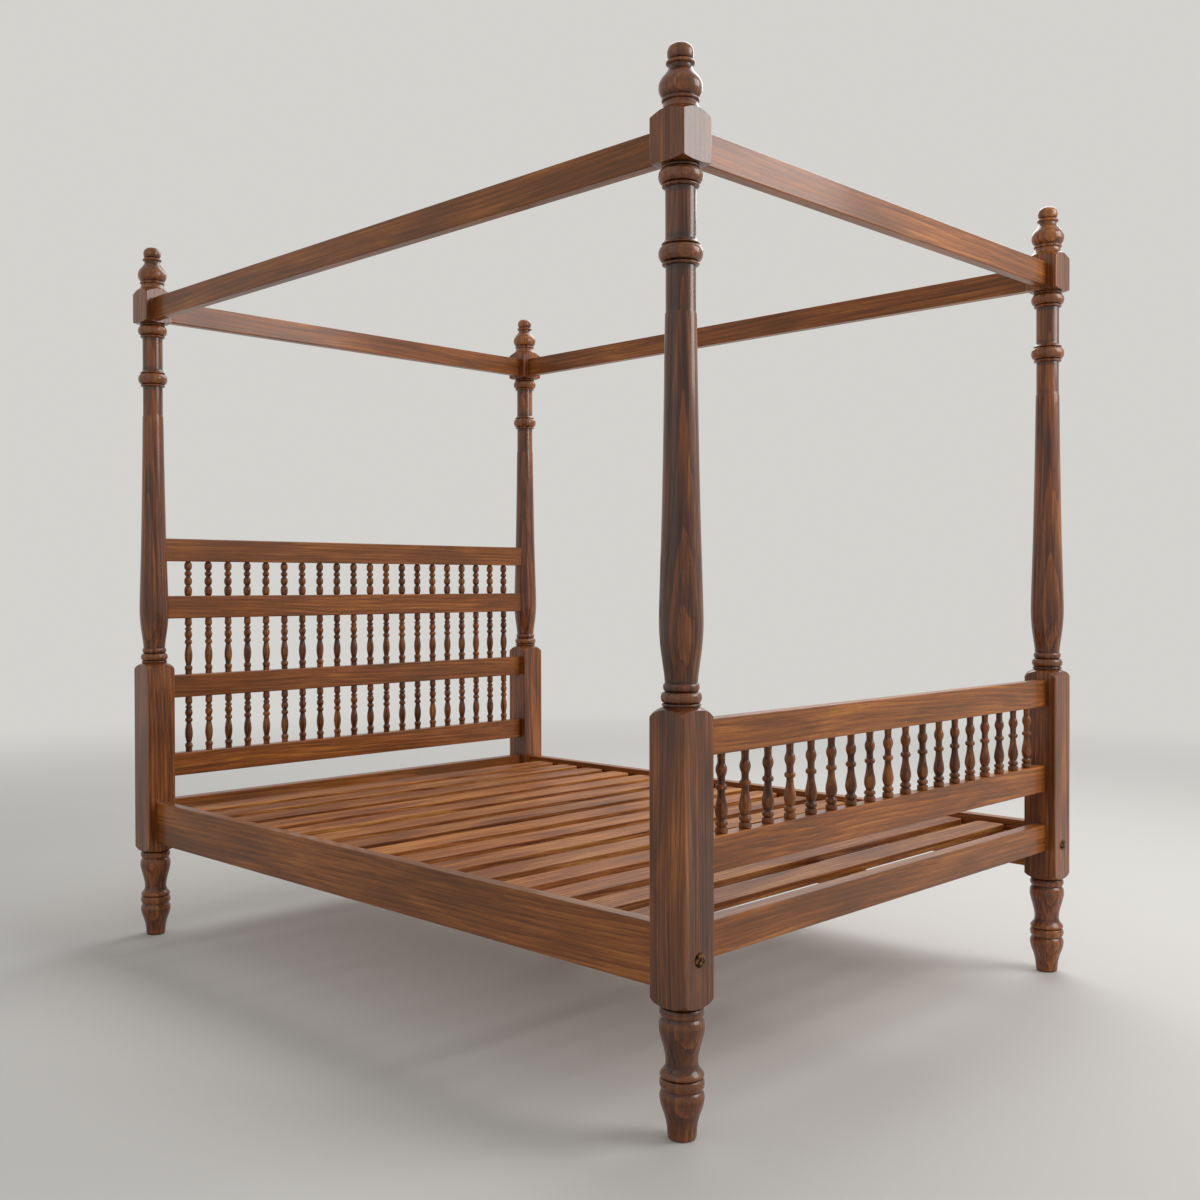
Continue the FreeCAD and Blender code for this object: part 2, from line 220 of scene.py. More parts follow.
def tone_of(number: int) -> float:
    """An even spread of tones from 0 to 1, so that neighbours are never cut from the same board."""
    golden_share = 0.618034
    return (number * golden_share) % 1.0


@dataclass(frozen=True)
class Wood:
    """A lacquered hardwood with cloudy figure, dark and golden streaks, wavy layers, fibre and pores.

    Each pattern's width and length are real sizes in millimetres, across and along the grain.
    """

    name: str
    # Shades from the darkest to the lightest, each with its place from 0 to 1
    shades: tuple[tuple[float, str], ...]
    # The dark colour of the pores, also painted into grooves as shade
    stain_and_shade: str
    cloud: tuple[float, float] = (62.0, 360.0)
    streak: tuple[float, float] = (6.5, 380.0)
    layer: tuple[float, float] = (14.0, 520.0)
    fibre: tuple[float, float] = (1.8, 90.0)
    # Real pores are about 0.2 mm wide, so they are drawn six times as wide to show
    pore: tuple[float, float] = (1.2, 26.0)
    drift: tuple[float, float] = (210.0, 800.0)
    drift_reach: float = 40.0
    # How much each pattern counts in the figure, one in all
    cloud_share: float = 0.40
    streak_share: float = 0.38
    fibre_share: float = 0.13
    layer_share: float = 0.09
    contrast: float = 0.24
    # The noise values where a pore starts and where it is full, and how dark it then is
    pore_start: float = 0.58
    pore_full: float = 0.72
    pore_stain: float = 0.5
    dimmest_board: float = 0.82
    brightest_board: float = 1.16
    # How far crests and eased edges are painted towards the lightest shade as a highlight, and grooves
    # towards the dark colour as painted shade
    painted_highlight: float = 0.25
    painted_groove_shade: float = 0.62
    smoothest: float = 0.32
    roughest: float = 0.48
    coat: float = 0.3
    coat_roughness: float = 0.13
    gloss: float = 0.25
    relief: float = 0.25
    bump: float = 0.35

    def grain(self, tree: bpy.types.NodeTree, where: bpy.types.NodeSocket, size: tuple[float, float],
              axis: Axis) -> bpy.types.NodeSocket:
        """Scale coordinates so that one unit is a pattern's width across the grain and its length along it.

        Args:
            tree: The material's node tree.
            where: The coordinates.
            size: The pattern's width and length.
            axis: The grain's direction.

        Returns:
            The scaled coordinates.
        """
        width, length = size
        scale = [1 / (width * MM)] * 3
        scale[axis.value] = 1 / (length * MM)
        return add_node(tree, "ShaderNodeMapping", {"Vector": where, "Scale": scale}).outputs["Vector"]

    def material(self, axis: Axis) -> bpy.types.Material:
        """Make the wood with its grain along one axis.

        Args:
            axis: The grain's direction.

        Returns:
            The material.
        """
        material = bpy.data.materials.new(f"{self.name}, grain along {axis.name}")
        tree = empty_tree(material)
        where = add_node(tree, "ShaderNodeTexCoord").outputs["Object"]
        # The grain wanders slowly along the board
        drift = add_node(tree, "ShaderNodeTexNoise", {
            "Vector": self.grain(tree, where, self.drift, axis), "Scale": 1.0, "Detail": 1.0,
        }).outputs["Color"]
        where = add_node(tree, "ShaderNodeVectorMath", {
            0: drift, 1: [self.drift_reach * MM] * 3, 2: where,
        }, operation="MULTIPLY_ADD").outputs["Vector"]

        noises = (
            (self.cloud, {"Detail": 3.0, "Distortion": 0.6}),
            (self.streak, {"Detail": 4.0, "Roughness": 0.6}),
            (self.fibre, {"Detail": 2.0}),
            (self.pore, {"Detail": 1.0}),
        )
        cloud, streak, fibre, pores = (
            add_node(tree, "ShaderNodeTexNoise", {
                "Vector": self.grain(tree, where, size, axis), "Scale": 1.0, **inputs,
            }).outputs["Fac"]
            for size, inputs in noises
        )
        # One unit of the wave's coordinates holds 5 / pi waves
        spacing = tuple(size * 5 / math.pi for size in self.layer)
        layers = add_node(tree, "ShaderNodeTexWave", {
            "Vector": self.grain(tree, where, spacing, axis), "Scale": 1.0, "Distortion": 7.0, "Detail": 2.0,
            "Detail Scale": 0.6,
        }, wave_type="BANDS", bands_direction="DIAGONAL", wave_profile="SAW").outputs["Fac"]

        figure = 0.0
        for pattern, share in ((cloud, self.cloud_share), (streak, self.streak_share),
                               (fibre, self.fibre_share), (layers, self.layer_share)):
            figure = add_node(tree, "ShaderNodeMath", {
                0: pattern, 1: share, 2: figure,
            }, operation="MULTIPLY_ADD").outputs["Value"]
        spread = add_node(tree, "ShaderNodeMapRange", {
            "Value": figure, "From Min": 0.5 - self.contrast / 2, "From Max": 0.5 + self.contrast / 2,
        }).outputs["Result"]
        ramp = add_node(tree, "ShaderNodeValToRGB", {"Fac": spread})
        stops = ramp.color_ramp.elements
        for place, _ in self.shades[1:-1]:
            stops.new(place)
        for stop, (place, shade) in zip(stops, self.shades):
            stop.position = place
            stop.color = linear(shade)
        pore = add_node(tree, "ShaderNodeMapRange", {
            "Value": pores, "From Min": self.pore_start, "From Max": self.pore_full,
            "To Max": self.pore_stain,
        }, interpolation_type="SMOOTHSTEP").outputs["Result"]
        pored = add_node(tree, "ShaderNodeMix", {
            0: pore, 6: ramp.outputs["Color"], 7: linear(self.stain_and_shade),
        }, data_type="RGBA").outputs[2]

        # Each board has its own tone; crests and eased edges get a painted highlight in the lightest shade,
        # and grooves get painted shade in the dark pore colour
        tone = add_node(tree, "ShaderNodeAttribute", attribute_name="tone").outputs["Fac"]
        value = add_node(tree, "ShaderNodeMapRange", {
            "Value": tone, "To Min": self.dimmest_board, "To Max": self.brightest_board,
        }).outputs["Result"]
        toned = add_node(tree, "ShaderNodeHueSaturation", {"Value": value, "Color": pored}).outputs["Color"]
        painted_light = add_node(tree, "ShaderNodeAttribute", attribute_name="painted_light").outputs["Fac"]
        highlight_share = add_node(tree, "ShaderNodeMapRange", {
            "Value": painted_light, "To Max": self.painted_highlight,
        }).outputs["Result"]
        rubbed_and_highlit = add_node(tree, "ShaderNodeMix", {
            0: highlight_share, 6: toned, 7: linear(self.shades[-1][1]),
        }, data_type="RGBA").outputs[2]
        shade_share = add_node(tree, "ShaderNodeMapRange", {
            "Value": painted_light, "From Max": -1.0, "To Max": self.painted_groove_shade,
        }).outputs["Result"]
        colour = add_node(tree, "ShaderNodeMix", {
            0: shade_share, 6: rubbed_and_highlit, 7: linear(self.stain_and_shade),
        }, data_type="RGBA").outputs[2]

        roughness = add_node(tree, "ShaderNodeMapRange", {
            "Value": streak, "From Min": 0.3, "From Max": 0.7,
            "To Min": self.smoothest, "To Max": self.roughest,
        }).outputs["Result"]
        height = add_node(tree, "ShaderNodeMath", {0: fibre, 1: pore}, operation="SUBTRACT").outputs["Value"]
        normal = add_node(tree, "ShaderNodeBump", {
            "Strength": self.bump, "Distance": self.relief * MM, "Height": height,
        }).outputs["Normal"]
        shader = add_node(tree, "ShaderNodeBsdfPrincipled", {
            "Base Color": colour, "Roughness": roughness, "Normal": normal, "IOR": 1.5,
            "Specular IOR Level": self.gloss, "Coat Weight": self.coat, "Coat Roughness": self.coat_roughness,
        }).outputs["BSDF"]
        add_node(tree, "ShaderNodeOutputMaterial", {"Surface": shader})
        return material


@dataclass(frozen=True)
class AntiqueBronze:
    """Bronze darkened with age, paler where it is rubbed: a warm dark metal with uneven gloss."""

    name: str
    dark: str
    rubbed_and_highlit: str
    patch_size: float = 7.0
    grit_size: float = 0.9
    grit_depth: float = 0.1
    bump: float = 0.2
    # The noise values where a rubbed patch starts and where it is full
    patch_start: float = 0.42
    patch_full: float = 0.64
    smoothest: float = 0.28
    roughest: float = 0.5

    def material(self) -> bpy.types.Material:
        """Make the metal."""
        material = bpy.data.materials.new(self.name)
        tree = empty_tree(material)
        where = add_node(tree, "ShaderNodeTexCoord").outputs["Object"]
        patches = add_node(tree, "ShaderNodeTexNoise", {
            "Vector": where, "Scale": 1 / (self.patch_size * MM), "Detail": 3.0,
        }).outputs["Fac"]
        grit = add_node(tree, "ShaderNodeTexNoise", {
            "Vector": where, "Scale": 1 / (self.grit_size * MM), "Detail": 2.0,
        }).outputs["Fac"]
        patch = add_node(tree, "ShaderNodeMapRange", {
            "Value": patches, "From Min": self.patch_start, "From Max": self.patch_full,
        }, interpolation_type="SMOOTHSTEP").outputs["Result"]
        colour = add_node(tree, "ShaderNodeMix", {
            0: patch, 6: linear(self.dark), 7: linear(self.rubbed_and_highlit),
        }, data_type="RGBA").outputs[2]
        roughness = add_node(tree, "ShaderNodeMapRange", {
            "Value": patch, "To Min": self.roughest, "To Max": self.smoothest,
        }).outputs["Result"]
        normal = add_node(tree, "ShaderNodeBump", {
            "Strength": self.bump, "Distance": self.grit_depth * MM, "Height": grit,
        }).outputs["Normal"]
        shader = add_node(tree, "ShaderNodeBsdfPrincipled", {
            "Base Color": colour, "Metallic": 1.0, "Roughness": roughness, "Normal": normal,
        }).outputs["BSDF"]
        add_node(tree, "ShaderNodeOutputMaterial", {"Surface": shader})
        return material


class Finishes:
    """Every material of the bed."""

    # Sheesham is a golden to dark brown hardwood with cloudy figure, here under a satin lacquer
    post_wood = Wood("turned sheesham, satin lacquer", stain_and_shade="#1C0D06", shades=(
        (0.0, "#351707"), (0.3, "#582A0F"), (0.55, "#763E17"), (0.8, "#935320"), (1.0, "#AD692A"),
    ), coat=0.5, coat_roughness=0.1, gloss=0.35)
    rail_wood = Wood("planed sheesham, satin lacquer", stain_and_shade="#211008", shades=(
        (0.0, "#381808"), (0.28, "#5C2C11"), (0.55, "#7D421A"), (0.8, "#9B5924"), (1.0, "#B4712F"),
    ))
    spindle_wood = Wood("turned sheesham spindles, satin lacquer", stain_and_shade="#1A0C06", shades=(
        (0.0, "#321707"), (0.3, "#552A10"), (0.55, "#723E19"), (0.8, "#8D5325"), (1.0, "#A4662E"),
    ), cloud=(40.0, 120.0))
    # The slats are the paler sapwood of the same timber, with a lacquer too thin to shine
    slat_wood = Wood("sheesham sapwood, thin lacquer", stain_and_shade="#3A1B0B", coat=0.0, shades=(
        (0.0, "#582B12"), (0.28, "#7E451D"), (0.55, "#9C5C29"), (0.8, "#B67538"), (1.0, "#CB8C4A"),
    ), smoothest=0.42, roughest=0.56, gloss=0.22)
    # Ledgers, beam, seats and leg are sealed pine, straight-grained and dull
    hidden_wood = Wood("sealed pine", stain_and_shade="#5A351C", coat=0.0, smoothest=0.5, roughest=0.65, shades=(
        (0.0, "#86552F"), (0.4, "#A87444"), (0.7, "#BC8A56"), (1.0, "#CC9F6B"),
    ))
    bolt_metal = AntiqueBronze("antique bronze", dark="#2C1E13", rubbed_and_highlit="#86633F")

    def __init__(self) -> None:
        """Make every material once for each grain direction in use."""
        self.posts = self.post_wood.material(Axis.Z)
        self.rails = {axis: self.rail_wood.material(axis) for axis in (Axis.X, Axis.Y)}
        self.spindles = self.spindle_wood.material(Axis.Z)
        self.slats = self.slat_wood.material(Axis.X)
        self.hidden = {axis: self.hidden_wood.material(axis) for axis in Axis}
        self.bolts = self.bolt_metal.material()


class Bench:
    """The tools that every sub-assembly uses: turning, squaring, easing, and finishing a mesh as a piece."""

    merge_distance = 1e-3
    cut_distance = 1e-4
    # Heights and radii are told apart by the hundredth of a millimetre
    marks_per_mm = 100
    crisp_angle = math.radians(38.0)

    def __init__(self, lathe_steps: int = 96) -> None:
        """Set how many faces go around a turned piece."""
        self.lathe_steps = lathe_steps

    def turn(self, outline: Outline, steps: int | None = None) -> bmesh.types.BMesh:
        """Turn a closed round piece about Z, in millimetres, and mark its crests and grooves for painted
        highlights and shade.

        Args:
            outline: Its stretches, from the bottom up.
            steps: Faces around the piece, where it isn't the usual count.

        Returns:
            The mesh.
        """
        points = [point for stretch in outline for point in stretch.points()]
        points = [Vector((0, 0, points[0].z)), *points, Vector((0, 0, points[-1].z))]
        mesh = bmesh.new()
        verts = [mesh.verts.new(point) for point in points]
        edges = [mesh.edges.new(pair) for pair in zip(verts, verts[1:])]
        bmesh.ops.spin(mesh, geom=verts + edges, cent=(0, 0, 0), axis=(0, 0, 1), angle=2 * math.pi,
                       steps=steps or self.lathe_steps, use_merge=True)
        bmesh.ops.remove_doubles(mesh, verts=mesh.verts, dist=self.merge_distance)
        bmesh.ops.recalc_face_normals(mesh, faces=mesh.faces)
        self.mark_turned(mesh, points)
        return mesh

    def mark_turned(self, mesh: bmesh.types.BMesh, points: list[Vector], window: float = 13.0,
                    depth: float = 7.0) -> None:
        """Mark how far each ring of a turned piece stands out from, or lies below, its neighbours, so that
        crests get a painted highlight and grooves painted shade.

        Args:
            mesh: The turned mesh.
            points: Its outline.
            window: How far up and down the neighbours count.
            depth: The difference in radius that counts in full.
        """
        layer = mesh.verts.layers.float.new("painted_light")
        fine = self.marks_per_mm
        marks: dict[tuple[int, int], float] = {}
        for point in points:
            near = [other.x for other in points if abs(other.z - point.z) <= window and other.x > 0]
            crest = min(1.0, (point.x - min(near)) / depth)
            groove = min(1.0, (max(near) - point.x) / depth)
            marks[round(point.x * fine), round(point.z * fine)] = max(-1.0, crest - groove)
        for vert in mesh.verts:
            key = round(math.hypot(vert.co.x, vert.co.y) * fine), round(vert.co.z * fine)
            vert[layer] = marks.get(key, 0.0)

    def square(self, mesh: bmesh.types.BMesh, width: float, low: float, high: float, ease: float,
               facets: int = 3) -> None:
        """Plane four flats on a stretch of a turned blank, with its upright edges eased round.

        Args:
            mesh: The turned blank.
            width: The distance across the flats.
            low: Where the stretch starts.
            high: Where the stretch ends.
            ease: The radius of the eased edges.
            facets: Cuts that make up one eased edge.
        """
        corner = width / 2 - ease
        steps = facets + 1
        for number in range(4 * steps):
            angle = number * math.pi / 2 / steps
            inner = angle % (math.pi / 2)
            reach = corner * (math.cos(inner) + math.sin(inner)) + ease if number % steps else width / 2
            facing = Vector((math.cos(angle), math.sin(angle), 0))
            faces = [face for face in mesh.faces if low < face.calc_center_median().z < high]
            edges = list({edge for face in faces for edge in face.edges})
            verts = list({vert for face in faces for vert in face.verts})
            cut = bmesh.ops.bisect_plane(mesh, geom=verts + edges + faces, dist=self.cut_distance,
                                         plane_co=facing * reach, plane_no=facing, clear_outer=True)
            rim = [item for item in cut["geom_cut"]
                   if isinstance(item, bmesh.types.BMEdge) and item.is_boundary]
            bmesh.ops.edgeloop_fill(mesh, edges=rim)
        bmesh.ops.recalc_face_normals(mesh, faces=mesh.faces)

    def bar(self, size: Vector, centre: Vector) -> bmesh.types.BMesh:
        """A plain bar with square edges, in millimetres.

        Args:
            size: Its length on each axis.
            centre: Its middle.

        Returns:
            The mesh.
        """
        mesh = bmesh.new()
        place = Matrix.Translation(centre) @ Matrix.Diagonal((*size, 1.0))
        bmesh.ops.create_cube(mesh, size=1.0, matrix=place)
        return mesh

    def ease(self, mesh: bmesh.types.BMesh, edges: list[bmesh.types.BMEdge], radius: float,
             segments: int = 3) -> None:
        """Round some edges of a mesh.

        Args:
            mesh: The mesh.
            edges: The edges to round.
            radius: How far the rounding reaches.
            segments: Faces across the rounding.
        """
        bmesh.ops.bevel(mesh, geom=edges, offset=radius, offset_type="OFFSET", segments=segments, profile=0.5,
                        affect="EDGES", material=-1, clamp_overlap=True)

    def mark_eased(self, mesh: bmesh.types.BMesh) -> None:
        """Mark the eased edges of a square-edged piece for a painted highlight, by how far they turn away
        from its flats.
        """
        layer = mesh.verts.layers.float.get("painted_light") or mesh.verts.layers.float.new("painted_light")
        full_turn = 0.3
        mesh.normal_update()
        for vert in mesh.verts:
            vert[layer] = min(1.0, (1.0 - max(abs(part) for part in vert.normal)) / full_turn)

    def mark_tone(self, mesh: bmesh.types.BMesh, tone: float) -> None:
        """Give every point of a mesh one tone."""
        layer = mesh.verts.layers.float.get("tone") or mesh.verts.layers.float.new("tone")
        for vert in mesh.verts:
            vert[layer] = tone

    def joined(self, meshes: list[bmesh.types.BMesh]) -> bmesh.types.BMesh:
        """Put several meshes into one.

        Args:
            meshes: The meshes, which are used up.

        Returns:
            One mesh with them all.
        """
        whole = bmesh.new()
        for mesh in meshes:
            data = bpy.data.meshes.new("part")
            mesh.to_mesh(data)
            mesh.free()
            whole.from_mesh(data)
            bpy.data.meshes.remove(data)
        return whole

    def row(self, mesh: bmesh.types.BMesh, places: list[Vector], first_tone: int = 0) -> bmesh.types.BMesh:
        """Repeat a mesh at several places, each copy with a tone of its own.

        Args:
            mesh: The mesh to repeat, which is used up.
            places: How far each copy is moved.
            first_tone: The number of the first copy's tone.

        Returns:
            One mesh with every copy.
        """
        copies = []
        for number, place in enumerate(places, first_tone):
            copy = mesh.copy()
            bmesh.ops.translate(copy, verts=copy.verts, vec=place)
            self.mark_tone(copy, tone_of(number))
            copies.append(copy)
        mesh.free()
        return self.joined(copies)

    def piece(self, name: str, mesh: bmesh.types.BMesh, material: bpy.types.Material, slot: str,
              *nodes: str) -> bpy.types.Object:
        """Finish a mesh as a piece of the bed, in metres at the origin.

        Args:
            name: The piece's name.
            mesh: Its mesh in millimetres, which is used up.
            material: Its material.
            slot: Not used.
            nodes: The CAD nodes that it stands for.

        Returns:
            The piece.
        """
        bmesh.ops.scale(mesh, vec=(MM, MM, MM), verts=mesh.verts)
        mesh.normal_update()
        for face in mesh.faces:
            face.smooth = True
        for edge in mesh.edges:
            edge.smooth = edge.calc_face_angle(0.0) < self.crisp_angle
        data = bpy.data.meshes.new(name)
        mesh.to_mesh(data)
        mesh.free()
        data.materials.append(material)
        piece = bpy.data.objects.new(name, data)
        bpy.context.scene.collection.objects.link(piece)
        even = piece.modifiers.new("even shading of flats", "WEIGHTED_NORMAL")
        even.keep_sharp = True
        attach(piece, BODY)
        if nodes:
            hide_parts(*nodes)
        LOG.info("%s: %d faces, for %s", name, len(data.polygons), ", ".join(nodes) or "no CAD node")
        return piece

    def board(self, node: str, mesh: bmesh.types.BMesh, number: int, material: bpy.types.Material,
              slot: str) -> None:
        """Finish a square-edged mesh as the eased piece for one CAD node.

        Args:
            node: The CAD node that it stands for.
            mesh: Its mesh, which is used up.
            number: The number of its tone.
            material: Its material.
            slot: Handed on to piece.
        """
        self.mark_eased(mesh)
        self.mark_tone(mesh, tone_of(number))
        self.piece(f"eased_{node}", mesh, material, slot, node)


@dataclass
class Posts:
    """Four posts, each turned from one square blank with two lengths left square, and their finials."""

    block_low: float = 256.0
    block_high: float = 832.0
    block_ease: float = 5.0
    top_block_low: float = 1866.0
    top_block_high: float = 1973.0
    top_block_ease: float = 3.5
    foot: Outline = (
        Sweep(((0.0, 23.4), (1.8, 26.6), (6.0, 28.3))),
        Sweep(((6.0, 28.3), (20.0, 29.2), (35.0, 31.6), (49.0, 35.6), (62.0, 40.3), (74.0, 43.2),
               (83.0, 43.7), (90.0, 42.0), (95.0, 38.4))),
        Bead(96.6, 119.0, root=38.0, crown=43.8),
        Sweep(((120.0, 39.0), (122.2, 42.3), (126.0, 42.6), (130.5, 39.8), (136.0, 35.2), (142.0, 32.4),
               (149.0, 31.5))),
        Sweep(((149.0, 31.5), (160.0, 32.4), (177.0, 36.0), (194.0, 40.7), (209.0, 44.1), (219.0, 44.6),
               (228.0, 43.3), (235.0, 38.8))),
        Bead(236.4, 255.5, root=38.4, crown=43.8),
    )
    # The square lengths start as wide drums, whose sloping ends become the round-topped shoulders
    drum: Outline = (
        Sweep(((256.0, 39.6), (264.6, 55.6), (278.5, 66.6))),
        Sweep(((805.0, 66.6), (821.7, 53.2), (832.0, 34.8))),
    )
    shaft: Outline = (
        Bead(832.4, 838.6, root=34.8, crown=37.8),
        Bead(839.4, 860.0, root=33.5, crown=39.8),
        Bead(862.0, 877.2, root=31.4, crown=35.3),
        Sweep(((880.4, 32.0), (892.0, 33.0), (915.0, 36.1), (942.0, 39.8), (970.0, 42.1), (993.0, 42.9),
               (1030.0, 42.3), (1095.0, 40.4), (1217.0, 36.9), (1400.0, 33.3), (1584.0, 30.6))),
        Sweep(((1586.0, 29.2), (1674.0, 29.1))),
        Bead(1674.6, 1681.8, root=31.0, crown=36.0),
        Bead(1682.6, 1714.0, root=32.6, crown=42.9),
        Sweep(((1714.4, 33.6), (1715.4, 36.6), (1717.4, 36.6), (1720.4, 33.0), (1725.0, 30.4),
               (1731.0, 29.5))),
        Sweep(((1731.0, 29.5), (1823.0, 29.6))),
        Bead(1823.6, 1830.8, root=31.4, crown=36.2),
        Bead(1831.6, 1859.6, root=33.6, crown=42.9),
        Bead(1860.2, 1865.8, root=33.9, crown=36.8),
    )
    top_drum: Outline = (
        Sweep(((1866.0, 34.0), (1868.6, 49.6), (1873.2, 63.6))),
        Sweep(((1954.5, 63.6), (1963.2, 50.2), (1973.0, 37.5))),
    )
    dowel: Outline = (Sweep(((1945.0, 8.0), (1973.0, 8.0))),)
    finial: Outline = (
        Sweep(((1973.0, 37.5), (1979.4, 34.3), (1986.4, 32.7))),
        Bead(1987.0, 1994.0, root=33.5, crown=36.6),
        Sweep(((1995.0, 33.5), (2000.0, 37.8), (2007.0, 41.2), (2015.0, 42.3), (2022.5, 41.3), (2030.0, 37.9),
               (2038.0, 31.9), (2045.0, 26.4), (2050.5, 23.4), (2056.5, 22.4))),
        Bead(2057.4, 2065.8, root=22.8, crown=28.3),
        Sweep(((2067.0, 21.4), (2070.6, 23.9), (2077.0, 25.5), (2084.0, 25.5), (2090.6, 23.2), (2095.8, 18.2),
               (2098.9, 10.4), (2099.9, 1.0))),
    )

    def shape(self, bench: Bench) -> bmesh.types.BMesh:
        """Turn one post and plane its two square lengths.

        Args:
            bench: The tools.

        Returns:
            The post on the Z axis.
        """
        mesh = bench.turn(self.foot + self.drum + self.shaft + self.top_drum)
        bench.square(mesh, 2 * Seat.BLOCK.value, self.block_low, self.block_high, self.block_ease)
        bench.square(mesh, 2 * Seat.TOP_BLOCK.value, self.top_block_low, self.top_block_high,
                     self.top_block_ease)
        self.mark_blocks(mesh)
        return mesh

    def mark_blocks(self, mesh: bmesh.types.BMesh) -> None:
        """Mark the eased upright edges of the square lengths for a painted highlight, and nothing else there.
        """
        layer = mesh.verts.layers.float["painted_light"]
        full_turn = 0.6
        mesh.normal_update()
        for vert in mesh.verts:
            on_block = self.block_low < vert.co.z < self.block_high
            on_top_block = self.top_block_low < vert.co.z < self.top_block_high
            if on_block or on_top_block:
                vert[layer] = min(1.0, min(abs(vert.normal.x), abs(vert.normal.y)) / full_turn)

    def build(self, bench: Bench, finishes: Finishes) -> None:
        """Make the four posts and their finials.

        Args:
            bench: The tools.
            finishes: The materials.
        """
        corners = [f"{end.name}_{side.name}".lower() for end in End for side in Side]
        for number, corner in enumerate(corners):
            centre = Box.of(f"post_{corner}").centre
            for kind, mesh in (("post", self.shape(bench)), ("finial", bench.turn(self.dowel + self.finial))):
                bench.mark_tone(mesh, tone_of(number))
                bmesh.ops.translate(mesh, verts=mesh.verts, vec=(centre.x, centre.y, 0.0))
                node = f"{kind}_{corner}"
                bench.piece(f"turned_{node}", mesh, finishes.posts, "post_wood", node)


@dataclass
class Rails:
    """Side rails, end rails, canopy rails and the rails of headboard and footboard, with their tenons."""

    ease: float = 3.0
    tenon_thickness: float = 16.0
    tenon_drop: float = 10.0
    first_tone: int = 3

    def seat(self, node: str) -> Seat:
        """What a rail's shoulders meet."""
        if node.startswith("canopy"):
            return Seat.TOP_BLOCK
        return Seat.SHAFT if node in ("headboard_upper_rail", "headboard_top_rail") else Seat.BLOCK

    def shape(self, bench: Bench, node: str, axis: Axis) -> bmesh.types.BMesh:
        """Make one rail with its tenons and eased long edges, along X and then turned to its axis.

        Args:
            bench: The tools.
            node: The rail's CAD node.
            axis: The direction that it runs in.

        Returns:
            The mesh, in its place.
        """
        box = Box.of(node)
        post = Box.of("post_head_right").centre
        length, thickness = (box.size.x, box.size.y) if axis is Axis.X else (box.size.y, box.size.x)
        shoulder = post[axis.value] - self.seat(node).value
        mesh = bench.bar(Vector((2 * shoulder, thickness, box.size.z)), Vector())
        long_edges = [edge for edge in mesh.edges if edge.calc_length() > shoulder]
        for sign in (-1, 1):
            face = next(face for face in mesh.faces if face.normal.x * sign > 0.5)
            bmesh.ops.inset_individual(mesh, faces=[face], thickness=self.tenon_drop / 2)
            for vert in face.verts:
                vert.co.y = math.copysign(self.tenon_thickness / 2, vert.co.y)
                vert.co.z = math.copysign(box.size.z / 2 - self.tenon_drop, vert.co.z)
            tips = bmesh.ops.extrude_discrete_faces(mesh, faces=[face])["faces"]
            bmesh.ops.translate(mesh, verts=tips[0].verts, vec=(sign * (length / 2 - shoulder), 0.0, 0.0))
        bench.ease(mesh, long_edges, self.ease)
        if axis is Axis.Y:
            bmesh.ops.rotate(mesh, verts=mesh.verts, matrix=Matrix.Rotation(math.pi / 2, 3, "Z"))
        bmesh.ops.translate(mesh, verts=mesh.verts, vec=box.centre)
        return mesh

    def build(self, bench: Bench, finishes: Finishes) -> None:
        """Make every rail.

        Args:
            bench: The tools.
            finishes: The materials.
        """
        nodes = sorted(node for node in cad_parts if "rail" in node)
        for number, node in enumerate(nodes, self.first_tone):
            size = Box.of(node).size
            axis = Axis.X if size.x > size.y else Axis.Y
            bench.board(node, self.shape(bench, node, axis), number, finishes.rails[axis], "rail_wood")


